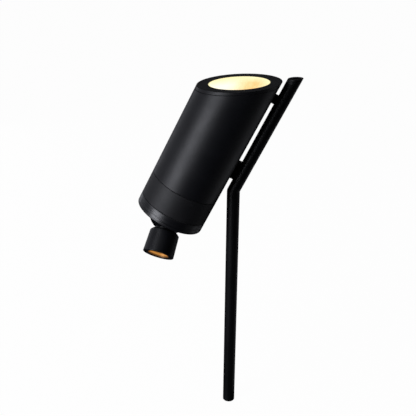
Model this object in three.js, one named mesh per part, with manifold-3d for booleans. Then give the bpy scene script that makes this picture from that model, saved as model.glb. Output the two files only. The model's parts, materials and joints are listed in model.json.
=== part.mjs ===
// Garden spotlight on a rod stake: a large obliquely cut uplight tube and a small adjustable
// downlight, carried side-on by a bent rod that is pushed into the ground on a finned spike.
// Millimetres, +Z up. The origin is where the rod's axis meets the ground.
import * as THREE from 'three';
import { mergeVertices } from 'three/addons/utils/BufferGeometryUtils.js';
import Module from 'manifold-3d';

const wasm = await Module();
wasm.setup();

const DEGREE = Math.PI / 180;

// ---- Driving dimensions ----------------------------------------------------------------------
const gap = 0.3;                 // between neighbouring pieces

const rodRadius = 8;
const rodBore = 6;
const bendHeight = 322;          // ground to the corner of the rod's bend
const bendRadius = 12;           // of the rod's centre line
const lean = 26.5 * DEGREE;      // of the upper rod and the head, from vertical
const upperRodLength = 156.1;    // from the bend's corner to the middle of the rod's end face
const rodDepth = 42;             // how far the rod reaches into the spike
const faceFall = 3 * DEGREE;     // the bezel and the rod's end face look up, this far off level
const rodCapThickness = 2;

const headRadius = 43.5;
const standoffReach = 5;         // clear space between rod and head
const housingWall = 3;
const faceHeight = 122.8;        // along the head's axis, from the bend's level to the bezel's face
const collarTop = -19;
const collarBottom = -50;
const capBottom = -64.3;
const capRounding = 1.4;
const bezelThickness = 3.5;
const mouthRadius = 30.3;        // bore of the liner that fills the mouth
const linerWall = 1;
const linerSink = 0.4;           // how far the liner ends below the bezel's face
const glassBottom = 82;
const glassThickness = 4;
const upperStandoff = { height: 10.4, level: 124 };
const lowerStandoff = { height: 22.6, level: 25.4 };
const standoffWidth = 12;

const ballRadius = 27.5;
const ballLevel = -60;           // the ball's centre on the head's axis
const spotTilt = 38.5 * DEGREE;  // of the small spot, from the head's axis
const spotTurn = 6 * DEGREE;     // of its tilting plane, about the head's axis
const spotRearRadius = 18.4;
const spotFrontRadius = 19.4;
const spotRear = 26.3;           // distances from the ball's centre along the spot's own axis
const spotMouth = 57;
const spotChamfer = 2.6;
const spotOpening = 12.6;
const neckRadius = 14;
const neckRear = 23.5;

const roundSides = 48;           // facets round the head's casing
const innerSides = 24;           // and round what it holds
const smallSides = 12;           // and round screws and holes
const farAway = 400;             // wider than the head, for whatever cuts right across it
const overlap = 1;               // of two solids that are joined, and of a hole past its end

const spikeTop = -3;
const spikeLength = 205;
const spikeHeadRadius = 14;
const spikeHeadBottom = -52;
const flangeRadius = 30;
const flangeThickness = 4;

// ---- Materials -------------------------------------------------------------------------------
const material = (color, roughness, metalness) =>
  new THREE.MeshStandardMaterial({ color, roughness, metalness });

const satinBlack = () => material(0x17181b, 0.42, 0.1);
const matteBlack = () => material(0x1c1c1f, 0.65, 0.05);
const turnedBlack = () => material(0x1d1d20, 0.3, 0.6);
const glossBlack = () => material(0x0b0c10, 0.15, 0.1);
const spikeNylon = () => material(0x232427, 0.6, 0);
const rubber = () => material(0x101010, 0.85, 0);
const zincSteel = () => material(0xa9abad, 0.35, 0.9);
const bareAluminium = () => material(0xb7b9bb, 0.4, 0.9);
const creamEnamel = () => material(0xf2e6c4, 0.5, 0);
const polishedMetal = () => material(0xe2e0da, 0.12, 1);
const goldAnodised = () => material(0xd89a4c, 0.3, 0.8);
const clearGlass = () => material(0xdfe9e6, 0.05, 0);
const ledBoardWhite = () => material(0xe9e6da, 0.5, 0);
const driverPlastic = () => material(0xd6d7d2, 0.55, 0);
const terminalPlastic = () => material(0x2e6f58, 0.5, 0);
const leadSheath = () => material(0x8d2f25, 0.6, 0);
const lowFriction = () => material(0xdedcd2, 0.45, 0);

// ---- Solid helpers ---------------------------------------------------------------------------
const weldDistance = 1e-4;

function withoutFlatTriangles(geometry) {
  const index = geometry.index.array;
  const kept = [];
  for (let i = 0; i < index.length; i += 3) {
    const [a, b, c] = [index[i], index[i + 1], index[i + 2]];
    if (a !== b && b !== c && c !== a) kept.push(a, b, c);
  }
  geometry.setIndex(kept);
  return geometry;
}

function closed(geometry) {
  const bare = geometry.clone();
  bare.deleteAttribute('normal');
  bare.deleteAttribute('uv');
  return withoutFlatTriangles(mergeVertices(bare, weldDistance));
}

function toSolid(geometry) {
  const merged = closed(geometry);
  const mesh = new wasm.Mesh({
    numProp: 3,
    vertProperties: new Float32Array(merged.attributes.position.array),
    triVerts: new Uint32Array(merged.index.array),
  });
  return new wasm.Manifold(mesh);
}

function toGeometry(solid) {
  const mesh = solid.getMesh();
  const geometry = new THREE.BufferGeometry();
  geometry.setAttribute('position', new THREE.BufferAttribute(mesh.vertProperties, 3));
  geometry.setIndex(new THREE.BufferAttribute(mesh.triVerts, 1));
  return geometry;
}

const cut = (geometry, ...tools) =>
  toGeometry(tools.reduce((solid, tool) => solid.subtract(toSolid(tool)), toSolid(geometry)));

const join = (geometry, ...others) =>
  toGeometry(others.reduce((solid, other) => solid.add(toSolid(other)), toSolid(geometry)));

const keepInside = (geometry, region) =>
  toGeometry(toSolid(geometry).intersect(toSolid(region)));

// A turned piece about Z. The profile is a list of [radius, height] that goes round the section
// anticlockwise, radius to the right and height up.
function turned(profile, segments) {
  const points = profile.map(([radius, height]) => new THREE.Vector2(radius, height));
  if (profile[0][0] > 0) points.push(points[0].clone());
  return new THREE.LatheGeometry(points, segments).rotateX(90 * DEGREE);
}

const disc = (radius, bottom, top, segments) =>
  turned([[0, bottom], [radius, bottom], [radius, top], [0, top]], segments);

const ring = (inner, outer, bottom, top, segments) =>
  turned([[inner, bottom], [outer, bottom], [outer, top], [inner, top]], segments);

// A round section ring, such as an O-ring.
function roundRing(radius, thickness, level) {
  const sides = 6;
  const profile = [];
  for (let i = 0; i < sides; i++) {
    const angle = (i / sides) * 360 * DEGREE;
    profile.push([radius + thickness * Math.cos(angle), level + thickness * Math.sin(angle)]);
  }
  return turned(profile, innerSides);
}

// Points of an arc in a turned profile, about the point [0, level] on the axis.
function sphereArc(radius, level, fromHeight, toHeight, steps) {
  const from = Math.asin(fromHeight / radius);
  const to = Math.asin(toHeight / radius);
  const points = [];
  for (let i = 0; i <= steps; i++) {
    const angle = from + ((to - from) * i) / steps;
    points.push([radius * Math.cos(angle), level + radius * Math.sin(angle)]);
  }
  return points;
}

function block(width, depth, height, x, y, z) {
  return new THREE.BoxGeometry(width, depth, height).translate(x, y, z);
}

// A round bar along X from one x to another.
function crossBar(radius, fromX, toX, level, segments = smallSides) {
  return disc(radius, fromX, toX, segments).rotateY(90 * DEGREE).translate(0, 0, level);
}

// A hexagonal socket for a key, sunk by depth to either side of the point x.
function keySocket(radius, depth, x, level) {
  const socket = new THREE.CylinderGeometry(radius, radius, depth * 2, 6);
  return socket.rotateZ(90 * DEGREE).translate(x, 0, level);
}

function mesh(name, geometry, finish) {
  const piece = new THREE.Mesh(closed(geometry), finish);
  piece.name = name;
  return piece;
}

// ---- The frame of the head: origin on its axis level with the bend, +Z along the axis ---------
const headOffset = headRadius + standoffReach + rodRadius;
const headPlace = new THREE.Matrix4().makeRotationY(lean);
headPlace.setPosition(-headOffset * Math.cos(lean), 0, bendHeight + headOffset * Math.sin(lean));

const faceAngle = lean + faceFall;     // between the face's normal and the head's axis

// Everything above the face, once it is sunk by depth square to itself. Head frame.
function aboveFace(depth) {
  const space = block(farAway, farAway, farAway, 0, 0, farAway / 2 - depth);
  return space.rotateY(-faceAngle).translate(0, 0, faceHeight);
}

// A flat layer of the head, parallel to its face. Head frame.
function faceLayer(topDepth, bottomDepth) {
  const thickness = bottomDepth - topDepth;
  const layer = block(farAway, farAway, thickness, 0, 0, -topDepth - thickness / 2);
  return layer.rotateY(-faceAngle).translate(0, 0, faceHeight);
}

// ---- Stake: rod, end cap, standoffs and their screws -----------------------------------------
class RodLine extends THREE.Curve {
  constructor(arcSteps) {
    super();
    this.arcSteps = arcSteps;
    this.tangentLength = bendRadius * Math.tan(lean / 2);
  }

  // The straight stretches take one step each and the bend takes the rest, evenly.
  bendAngle(t) {
    const station = t * (this.arcSteps + 2);
    return lean * THREE.MathUtils.clamp((station - 1) / this.arcSteps, 0, 1);
  }

  getPoint(t) {
    const station = t * (this.arcSteps + 2);
    const angle = this.bendAngle(t);
    const point = new THREE.Vector3(
      bendRadius * (1 - Math.cos(angle)),
      0,
      bendHeight - this.tangentLength + bendRadius * Math.sin(angle),
    );
    const lower = bendHeight - this.tangentLength + rodDepth;
    const upper = upperRodLength + rodRadius - this.tangentLength;
    if (station < 1) point.z -= lower * (1 - station);
    const beyond = Math.max(0, station - this.arcSteps - 1);
    return point.addScaledVector(this.getTangent(t), upper * beyond);
  }

  getTangent(t) {
    const angle = this.bendAngle(t);
    return new THREE.Vector3(Math.sin(angle), 0, Math.cos(angle));
  }

  getUtoTmapping(u) {
    return u;
  }
}

function circlePoints(radius, count) {
  const points = [];
  for (let i = 0; i < count; i++) {
    const angle = (i / count) * 360 * DEGREE;
    points.push(new THREE.Vector2(radius * Math.cos(angle), radius * Math.sin(angle)));
  }
  return points;
}

function sweptRod(outer, inner) {
  const sides = 24;
  const arcSteps = 5;
  const section = new THREE.Shape(circlePoints(outer, sides));
  if (inner > 0) section.holes.push(new THREE.Path(circlePoints(inner, sides)));
  const extrudePath = new RodLine(arcSteps);
  return new THREE.ExtrudeGeometry(section, { steps: arcSteps + 2, extrudePath });
}

// Everything above the rod's end face, once it is sunk by depth. Object frame.
function aboveRodFace(depth) {
  const space = block(farAway, farAway, farAway, 0, 0, farAway / 2 - depth).rotateY(-faceFall);
  const x = upperRodLength * Math.sin(lean);
  const z = bendHeight + upperRodLength * Math.cos(lean);
  return space.translate(x, 0, z);
}

const screwSpread = 0.38;            // of the lower standoff's height, each way from its middle
const screwLevels = [
  upperStandoff.level,
  lowerStandoff.level + lowerStandoff.height * screwSpread,
  lowerStandoff.level - lowerStandoff.height * screwSpread,
];
const screwRadius = 1.7;
const ductRadius = 2.9;              // of the hole that the cable takes from the rod to the head

// What is drilled through the housing wall, the standoffs and the near wall of the rod.
function drillings() {
  const fromX = headRadius - housingWall * 2;
  const toX = headOffset;
  const holes = screwLevels.map((level) => crossBar(screwRadius + gap, fromX, toX, level));
  holes.push(crossBar(ductRadius, fromX, toX, lowerStandoff.level));
  return holes;
}

function stakeRod() {
  const holes = drillings().map((hole) => hole.applyMatrix4(headPlace));
  return cut(sweptRod(rodRadius, rodBore), aboveRodFace(rodCapThickness + gap), ...holes);
}

function rodEndCap() {
  const top = cut(sweptRod(rodRadius, 0), aboveRodFace(0));
  return keepInside(top, aboveRodFace(rodCapThickness));
}

function standoff({ height, level }) {
  const width = standoffReach + rodRadius * 2;
  const body = block(width, standoffWidth, height, headRadius + standoffReach / 2, 0, level);
  const bottom = level - height;
  const top = level + height;
  const headWall = disc(headRadius + gap, bottom, top, roundSides);
  const rodWall = disc(rodRadius + gap, bottom, top, innerSides).translate(headOffset, 0, 0);
  const beyondRod = block(farAway, farAway, farAway, headOffset + farAway / 2, 0, level);
  return cut(body, headWall, rodWall, beyondRod, ...drillings());
}

const screwHead = { radius: 2.8, thickness: 2.4, socketRadius: 1.4, socketDepth: 1.5 };

function standoffScrew(level) {
  const seat = headRadius - housingWall - gap * 2;
  const crown = seat - screwHead.thickness;
  const shank = crossBar(screwRadius, seat - overlap, headOffset - rodBore - gap, level);
  const head = crossBar(screwHead.radius, crown, seat, level);
  const { socketRadius, socketDepth } = screwHead;
  return cut(join(shank, head), keySocket(socketRadius, socketDepth, crown, level));
}

function inletGland() {
  const radius = 5.4;
  const length = 6;
  const outside = headRadius - housingWall - gap * 3;
  const inside = outside - length;
  const body = crossBar(radius, inside, outside, lowerStandoff.level, 6);
  const way = crossBar(ductRadius, inside - overlap, outside + overlap, lowerStandoff.level);
  return cut(body, way);
}

// ---- Head: housing, bezel and optics ---------------------------------------------------------
const housingBore = headRadius - housingWall;
const ledgeTop = glassBottom - gap;     // of the ledge that the cover glass rests on
const ledgeBottom = ledgeTop - 4.5;
const ledgeBore = 36.8;
const below = 60;                      // lower than the face anywhere
const above = 170;                     // and higher than it anywhere

function mainHousing() {
  const bottom = collarTop + gap / 2;
  const ledgeSlope = 2;
  const tube = turned([
    [housingBore, bottom],
    [headRadius, bottom],
    [headRadius, above],
    [housingBore, above],
    [housingBore, ledgeTop],
    [ledgeBore, ledgeTop],
    [ledgeBore, ledgeBottom],
    [housingBore, ledgeBottom - ledgeSlope],
  ], roundSides);
  return cut(tube, aboveFace(bezelThickness + gap), ...drillings());
}

const bezelBore = mouthRadius + linerWall + gap;
const skirtDepth = 4.5;
const skirtWall = 2.5;
const gasketThickness = 1.2;

function frontBezel() {
  const plate = ring(bezelBore, headRadius, below, above, roundSides);
  const face = keepInside(plate, faceLayer(0, bezelThickness));
  const skirtOuter = housingBore - gap;
  const skirt = ring(skirtOuter - skirtWall, skirtOuter, below, above, roundSides);
  const layer = faceLayer(bezelThickness - overlap, bezelThickness + skirtDepth);
  return join(face, keepInside(skirt, layer));
}

function bezelGasket() {
  const outer = housingBore - skirtWall - gap * 2;
  const top = bezelThickness + gap;
  const layer = faceLayer(top, top + gasketThickness);
  return keepInside(ring(bezelBore, outer, below, above, innerSides), layer);
}

const glassTop = glassBottom + glassThickness;
const glassRadius = housingBore - gap * 2;
const glassGasketTop = glassTop + gap + gasketThickness;
const linerFlange = 2;

function mouthLiner() {
  const outer = mouthRadius + linerWall;
  const bottom = glassGasketTop + gap;
  const flangeTop = bottom + linerFlange;
  const liner = turned([
    [mouthRadius, bottom],
    [housingBore - gap, bottom],
    [housingBore - gap, flangeTop],
    [outer, flangeTop],
    [outer, above],
    [mouthRadius, above],
  ], roundSides);
  return cut(liner, aboveFace(linerSink));
}

const coverGlass = () => disc(glassRadius, glassBottom, glassTop, innerSides);
const glassGasket = () =>
  ring(glassRadius - 4.4, glassRadius, glassTop + gap, glassGasketTop, innerSides);

const ledLevel = 54;                   // top of the light-emitting module
const holderTop = ledLevel + 4;
const reflectorTop = ledgeBottom + 3;
const reflectorBottom = holderTop + 1;
const reflectorThroat = 12;
const reflectorMouth = 35.2;

function mainReflector() {
  const steps = 5;
  const wall = 1.2;
  const fullness = 0.62;               // below 1 the cup opens quickly near its throat
  const inside = [];
  const outside = [];
  for (let i = 0; i <= steps; i++) {
    const part = i / steps;
    const widening = (reflectorMouth - reflectorThroat) * Math.pow(part, fullness);
    const radius = reflectorThroat + widening;
    const height = reflectorBottom + (reflectorTop - reflectorBottom) * part;
    inside.unshift([radius, height]);
    outside.push([radius + wall, height]);
  }
  return turned([...outside, ...inside], innerSides);
}

const holderRadius = 24;

function ledHolder() {
  const bottom = ledLevel + gap;
  const window = 11;
  const screwHole = { radius: 1.6, spread: 19 };
  const holder = ring(window, holderRadius, bottom, holderTop, innerSides);
  const screwHoles = [-1, 1].map((side) => {
    const hole = disc(screwHole.radius, bottom - overlap, holderTop + overlap, smallSides);
    return hole.translate(side * screwHole.spread, 0, 0);
  });
  return cut(holder, ...screwHoles);
}

const boardTop = ledLevel - 0.4;
const boardThickness = 1.4;

function mainLed() {
  const width = 24;
  const chipRadius = 9;
  const board = block(width, width, boardThickness, 0, 0, boardTop - boardThickness / 2);
  const chips = disc(chipRadius, boardTop - boardThickness / 2, ledLevel, innerSides);
  return join(board, chips);
}

const leadRadius = 31;                 // distance of the long lead from the head's axis
const leadHoleRadius = 2.6;
const sinkTop = boardTop - boardThickness - gap;
const sinkPlate = 5.5;
const hubRadius = 13;
const finHeight = 11;
const finWidth = 1.8;
const finCount = 16;

function heatSink() {
  const plateBottom = sinkTop - sinkPlate;
  const finBottom = plateBottom - finHeight;
  const radius = housingBore - gap;
  const plate = disc(radius, plateBottom, sinkTop, innerSides);
  const hub = disc(hubRadius, finBottom, plateBottom + overlap, innerSides);
  const from = hubRadius - overlap;
  const length = radius - overlap - from;
  const height = finHeight + overlap;
  const fins = [];
  for (let i = 0; i < finCount; i++) {
    const fin = block(length, finWidth, height, from + length / 2, 0, finBottom + height / 2);
    fins.push(fin.rotateZ(((i + 0.5) / finCount) * 360 * DEGREE));
  }
  const leadHole = disc(leadHoleRadius, plateBottom - overlap, sinkTop + overlap, smallSides);
  return cut(join(plate, hub, ...fins), leadHole.translate(leadRadius, 0, 0));
}

const trayTop = 10;
const trayThickness = 1.6;

// The lead rises from the tray, passes the heat sink's plate and turns in to the holder.
function ledLead() {
  const radius = 1.4;
  const sides = 8;
  const steps = 16;
  const path = new THREE.CatmullRomCurve3([
    new THREE.Vector3(leadRadius, 0, trayTop + gap),
    new THREE.Vector3(leadRadius, 0, (trayTop + sinkTop) / 2),
    new THREE.Vector3(leadRadius, 0, sinkTop),
    new THREE.Vector3(leadRadius - radius, 0, ledLevel + radius),
    new THREE.Vector3(holderRadius + gap, 0, ledLevel + radius * 1.6),
  ]);
  const section = new THREE.Shape(circlePoints(radius, sides));
  return new THREE.ExtrudeGeometry(section, { steps, extrudePath: path });
}

// ---- Head: gear compartment ------------------------------------------------------------------
const driver = { width: 46, depth: 32, height: 36 };

function driverTray() {
  const bottom = trayTop - trayThickness;
  const wireSlot = { width: 8, length: 20, x: -30 };
  const plate = disc(housingBore - gap, bottom, trayTop, innerSides);
  const slot = block(wireSlot.width, wireSlot.length, trayThickness * 3, wireSlot.x, 0, trayTop);
  const leadHole = disc(leadHoleRadius, bottom - overlap, trayTop + overlap, smallSides);
  return cut(plate, slot, leadHole.translate(leadRadius, 0, 0));
}

function driverCase() {
  const chamfer = 2;
  const x = driver.width / 2;
  const y = driver.depth / 2;
  const corners = [
    [chamfer - x, -y],
    [x - chamfer, -y],
    [x, chamfer - y],
    [x, y - chamfer],
    [x - chamfer, y],
    [chamfer - x, y],
    [-x, y - chamfer],
    [-x, chamfer - y],
  ];
  const outline = new THREE.Shape(corners.map((corner) => new THREE.Vector2(...corner)));
  const options = { depth: driver.height, bevelEnabled: false };
  const shell = new THREE.ExtrudeGeometry(outline, options);
  return shell.translate(0, 0, trayTop - trayThickness - gap - driver.height);
}

const terminals = { width: 12, length: 22, height: 11, x: 18, pitch: 7, wayRadius: 1.8, wayHeight: 4 };

function terminalBlock() {
  const { width, length, height, x, pitch, wayRadius, wayHeight } = terminals;
  const bottom = trayTop + gap;
  const body = block(width, length, height, x, 0, bottom + height / 2);
  const outside = x + width / 2 + overlap;
  const ways = [-1, 0, 1].map((side) => {
    const way = crossBar(wayRadius, x, outside, bottom + wayHeight);
    return way.translate(0, side * pitch, 0);
  });
  return cut(body, ...ways);
}

// ---- Head: collar, end cap and the seat of the ball -------------------------------------------
const sealRadius = 0.9;
const grooveDepth = 2.4;
const spigotWall = 3.4;

// The outline of a spigot from bottom to top, with a groove for its seal.
function grooved(outer, inner, bottom, top, grooveLevel) {
  const half = sealRadius + gap;
  const floor = outer - grooveDepth;
  return [
    [outer, bottom],
    [outer, grooveLevel - half],
    [floor, grooveLevel - half],
    [floor, grooveLevel + half],
    [outer, grooveLevel + half],
    [outer, top],
    [inner, top],
  ];
}

const collarSpigotTop = collarTop + 10;
const collarBore = 39.5;
const collarSealLevel = collarTop + 5;
const collarSpigot = housingBore - gap;

function collar() {
  const bottom = collarBottom + gap / 2;
  const top = collarTop - gap / 2;
  const bore = collarSpigot - spigotWall;
  return turned([
    [collarBore, bottom],
    [headRadius, bottom],
    [headRadius, top],
    ...grooved(collarSpigot, bore, top, collarSpigotTop, collarSealLevel),
    [bore, top - 4],
    [collarBore, top - 8],
  ], roundSides);
}

const sealRing = (spigotRadius, level) =>
  roundRing(spigotRadius - sealRadius - 0.1, sealRadius - 0.1, level);

const collarSeal = () => sealRing(collarSpigot, collarSealLevel);

const capSpigotTop = collarBottom + 9;
const capSealLevel = collarBottom + 4.5;
const capSpigot = collarBore - gap;
const capBore = 36;
const capFloor = capBottom + 1.6;
const seatRadius = 31.5;               // outside of what the ball turns in
const frictionTop = ballLevel + 4;
const springTop = ballLevel + 6;
const clampTop = springTop + 8;

function endCap() {
  const top = collarBottom - gap / 2;
  const lip = Math.sqrt((ballRadius + gap) ** 2 - (ballLevel - capBottom) ** 2);
  const rounding = [];
  const steps = 4;
  for (let i = 0; i <= steps; i++) {
    const angle = (-90 + (90 * i) / steps) * DEGREE;
    const radius = headRadius - capRounding + capRounding * Math.cos(angle);
    rounding.push([radius, capBottom + capRounding + capRounding * Math.sin(angle)]);
  }
  return turned([
    [lip, capBottom],
    ...rounding,
    [headRadius, top],
    ...grooved(capSpigot, capBore, top, capSpigotTop, capSealLevel),
    [capBore, springTop],
    [seatRadius + gap, springTop - 1],
    [seatRadius + gap, capFloor],
    [lip, capFloor],
  ], roundSides);
}

const capSeal = () => sealRing(capSpigot, capSealLevel);

// The part of a ring's profile that clears the ball, from top to bottom.
const ballSeat = (top, bottom) =>
  sphereArc(ballRadius + gap, ballLevel, top - ballLevel, bottom - ballLevel, 3);

// The ring that the ball turns in. It turns with the ball about the head's axis.
function frictionRing() {
  const bottom = capFloor + gap;
  const inner = ballSeat(frictionTop, bottom);
  return turned([...inner, [seatRadius, bottom], [seatRadius, frictionTop]], innerSides);
}

const springWasher = () =>
  ring(seatRadius - 2.9, seatRadius, frictionTop + gap, springTop - gap, innerSides);

function clampRing() {
  const radius = capBore - gap;
  const outer = [[seatRadius, springTop], [radius, springTop + 1], [radius, clampTop]];
  return turned([...ballSeat(clampTop, springTop), ...outer], innerSides);
}

// ---- Small spot: origin at the ball's centre, mouth towards -Z --------------------------------
function swivelBall() {
  const cableBore = 9;
  const openTop = 21;
  const hollow = 22.5;
  const hollowTop = 16;
  const hollowBottom = -14;
  const outside = sphereArc(ballRadius, 0, -neckRear, openTop, 11);
  const inside = sphereArc(hollow, 0, hollowTop, hollowBottom, 4);
  return turned([
    [cableBore, -neckRear],
    ...outside,
    [inside[0][0], openTop],
    ...inside,
    [cableBore, hollowBottom - 2],
  ], innerSides);
}

// The disc between ball and spot, with a threaded stub into each of them.
function swivelNeck() {
  const wireBore = 3;
  const upperStub = { radius: 8.5, length: 7 };
  const lowerStub = { radius: 7.5, length: 3 };
  return turned([
    [wireBore, -spotRear - lowerStub.length],
    [lowerStub.radius, -spotRear - lowerStub.length],
    [lowerStub.radius, -spotRear + gap],
    [neckRadius, -spotRear + gap],
    [neckRadius, -neckRear - gap],
    [upperStub.radius, -neckRear - gap],
    [upperStub.radius, -neckRear + upperStub.length],
    [wireBore, -neckRear + upperStub.length],
  ], innerSides);
}

const spotBore = 16.8;
const spotFit = spotBore - gap;        // radius of what slides into the bore
const spotFloor = -spotRear - 4;
const slugTop = spotFloor - gap;
const slugBottom = slugTop - 5.4;
const spotLedTop = slugBottom - gap;
const spotGlassTop = -43;
const spotGlassBottom = -45;
const spotSealThickness = 0.9;

// A slightly conical casing, chamfered at its rear.
function spotHousing() {
  const rearHole = 7.9;
  const rimEase = 0.4;
  const boreEase = 0.6;
  return turned([
    [rearHole, spotFloor],
    [spotBore, spotFloor],
    [spotBore, -spotMouth + boreEase],
    [spotBore + boreEase, -spotMouth],
    [spotFrontRadius - rimEase, -spotMouth],
    [spotFrontRadius, -spotMouth + rimEase],
    [spotRearRadius, -spotRear - spotChamfer],
    [spotRearRadius - spotChamfer, -spotRear],
    [rearHole, -spotRear],
  ], innerSides);
}

function spotHeatSlug() {
  const wireHole = { radius: 2.2, x: 8 };
  const slug = disc(spotFit, slugBottom, slugTop, innerSides);
  const hole = disc(wireHole.radius, slugBottom - overlap, slugTop + overlap, smallSides);
  return cut(slug, hole.translate(wireHole.x, 0, 0));
}

function spotLed() {
  const board = { radius: 6, thickness: 1.2 };
  const chip = { radius: 2.4, height: 0.8 };
  const boardBottom = spotLedTop - board.thickness;
  return join(
    disc(board.radius, boardBottom, spotLedTop, 6),
    disc(chip.radius, boardBottom - chip.height, boardBottom + board.thickness / 2, smallSides),
  );
}

function spotOptic() {
  const bottom = spotGlassTop + gap;
  const top = slugBottom - 2.8;
  const wide = 12.5;
  const narrow = 4.5;
  const rim = 1;
  const dimple = 1.2;
  return turned([
    [0, bottom],
    [wide, bottom],
    [wide, bottom + rim],
    [narrow, top],
    [0, top - dimple],
  ], innerSides);
}

const spotGlass = () => disc(spotFit, spotGlassBottom, spotGlassTop, innerSides);
function spotGlassSeal() {
  const top = spotGlassBottom - gap;
  return ring(spotFit - 2.9, spotFit, top - spotSealThickness, top, innerSides);
}

const baffleTop = spotGlassBottom - gap * 2 - spotSealThickness;
const baffleWall = 0.6;
const baffleFlange = 2;

// A funnel that opens towards the mouth, hung from a flange under the glass.
function spotBaffle() {
  const narrow = 10.6;
  const lip = 0.8;
  const end = -spotMouth + 0.5;
  return turned([
    [narrow, baffleTop],
    [narrow, baffleTop - lip],
    [spotOpening, end],
    [spotOpening + baffleWall, end],
    [spotOpening + baffleWall, baffleTop - baffleFlange - 0.5],
    [spotFit, baffleTop - baffleFlange],
    [spotFit, baffleTop],
  ], innerSides);
}

function spotFrontRing() {
  const top = baffleTop - baffleFlange - gap * 3;
  const inner = spotOpening + baffleWall + gap;
  return ring(inner, spotFit, -spotMouth + gap, top, innerSides);
}

// The lead of the small spot, from its heat slug up through neck and ball.
function spotLead() {
  const radius = 1.5;
  const top = 18;
  return disc(radius, spotFloor + gap, top, smallSides);
}

// ---- Spike -----------------------------------------------------------------------------------
const exitLevel = -rodDepth - 5;
const spikeTip = spikeTop - spikeLength;
const clampScrewLevel = -24;
const clampScrewRadius = 3;
const cableWayRadius = 4.5;
const spikeSides = 32;
const holeSides = 16;

const finOutline = { reach: 21, shoulder: 13, tip: 2.2, thickness: 3.6 };

function spikeFin(angle) {
  const { reach, shoulder, tip, thickness } = finOutline;
  const top = spikeHeadBottom + 8;
  const outline = new THREE.Shape([
    new THREE.Vector2(0, top),
    new THREE.Vector2(0, spikeTip + 6),
    new THREE.Vector2(tip, spikeTip + 10),
    new THREE.Vector2(reach, spikeHeadBottom - 22),
    new THREE.Vector2(reach, spikeHeadBottom - 4),
    new THREE.Vector2(shoulder, top),
  ]);
  const fin = new THREE.ExtrudeGeometry(outline, { depth: thickness, bevelEnabled: false });
  return fin.translate(0, 0, -thickness / 2).rotateX(90 * DEGREE).rotateZ(angle);
}

function groundSpike() {
  const core = turned([
    [0, spikeTip],
    [2.4, spikeTip + 12],
    [6.5, spikeHeadBottom - 8],
    [spikeHeadRadius, spikeHeadBottom],
    [spikeHeadRadius, spikeTop - flangeThickness],
    [flangeRadius, spikeTop - flangeThickness],
    [flangeRadius, spikeTop - 1],
    [flangeRadius - 1, spikeTop],
    [0, spikeTop],
  ], spikeSides);
  const fins = [0, 1, 2, 3].map((i) => spikeFin((45 + i * 90) * DEGREE));
  const outside = -spikeHeadRadius * 2;
  const screwBore = clampScrewRadius + gap;
  const socket = disc(rodRadius + gap, -rodDepth - gap, overlap, innerSides);
  const cableWay = disc(cableWayRadius, exitLevel - 3, -rodDepth + overlap, holeSides);
  const cableExit = crossBar(cableWayRadius, outside, 0, exitLevel, holeSides);
  const screwHole = crossBar(screwBore, outside, 0, clampScrewLevel, holeSides);
  return cut(join(core, ...fins), socket, cableWay, cableExit, screwHole.rotateZ(90 * DEGREE));
}

// A grub screw that locks the rod in the spike.
function clampScrew() {
  const outerEnd = -spikeHeadRadius + 1;
  const innerEnd = -rodRadius - gap;
  const socketRadius = 1.7;
  const socketDepth = 3;
  const body = crossBar(clampScrewRadius, outerEnd, innerEnd, clampScrewLevel, holeSides);
  const socket = keySocket(socketRadius, socketDepth, outerEnd, clampScrewLevel);
  return cut(body, socket).rotateZ(90 * DEGREE);
}

// The bush that the supply cable leaves through, in the side of the spike's head.
function cableBush() {
  const bore = 2.6;
  const stem = cableWayRadius - gap;
  const stemLength = 5;
  const profile = [
    [bore, 0],
    [stem, 0],
    [stem, stemLength],
    [6.6, stemLength],
    [6, stemLength + 2.4],
    [bore, stemLength + 2.4],
  ];
  const outward = turned(profile, holeSides).rotateY(-90 * DEGREE);
  return outward.translate(-spikeHeadRadius + stemLength - 0.4, 0, exitLevel);
}

// ---- Assembly --------------------------------------------------------------------------------
const spike = new THREE.Group();
spike.add(
  mesh('ground_spike', groundSpike(), spikeNylon()),
  mesh('rod_clamp_screw', clampScrew(), zincSteel()),
  mesh('cable_bush', cableBush(), rubber()),
);

const rod = new THREE.Group();
rod.add(
  mesh('stake_rod', stakeRod(), satinBlack()),
  mesh('rod_end_cap', rodEndCap(), satinBlack()),
);

const head = new THREE.Group();
head.add(
  mesh('upper_standoff', standoff(upperStandoff), satinBlack()),
  mesh('lower_standoff', standoff(lowerStandoff), satinBlack()),
  mesh('upper_standoff_screw', standoffScrew(screwLevels[0]), zincSteel()),
  mesh('lower_standoff_screw_1', standoffScrew(screwLevels[1]), zincSteel()),
  mesh('lower_standoff_screw_2', standoffScrew(screwLevels[2]), zincSteel()),
  mesh('inlet_gland', inletGland(), rubber()),
  mesh('main_housing', mainHousing(), satinBlack()),
  mesh('front_bezel', frontBezel(), satinBlack()),
  mesh('bezel_gasket', bezelGasket(), rubber()),
  mesh('mouth_liner', mouthLiner(), creamEnamel()),
  mesh('cover_glass', coverGlass(), clearGlass()),
  mesh('glass_gasket', glassGasket(), rubber()),
  mesh('main_reflector', mainReflector(), polishedMetal()),
  mesh('led_holder', ledHolder(), driverPlastic()),
  mesh('main_led', mainLed(), ledBoardWhite()),
  mesh('heat_sink', heatSink(), bareAluminium()),
  mesh('led_lead', ledLead(), leadSheath()),
  mesh('driver_tray', driverTray(), bareAluminium()),
  mesh('driver_case', driverCase(), driverPlastic()),
  mesh('terminal_block', terminalBlock(), terminalPlastic()),
  mesh('collar', collar(), matteBlack()),
  mesh('collar_seal', collarSeal(), rubber()),
  mesh('end_cap', endCap(), turnedBlack()),
  mesh('cap_seal', capSeal(), rubber()),
  mesh('ball_friction_ring', frictionRing(), lowFriction()),
  mesh('ball_spring_washer', springWasher(), zincSteel()),
  mesh('ball_clamp_ring', clampRing(), bareAluminium()),
);
head.applyMatrix4(headPlace);

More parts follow.
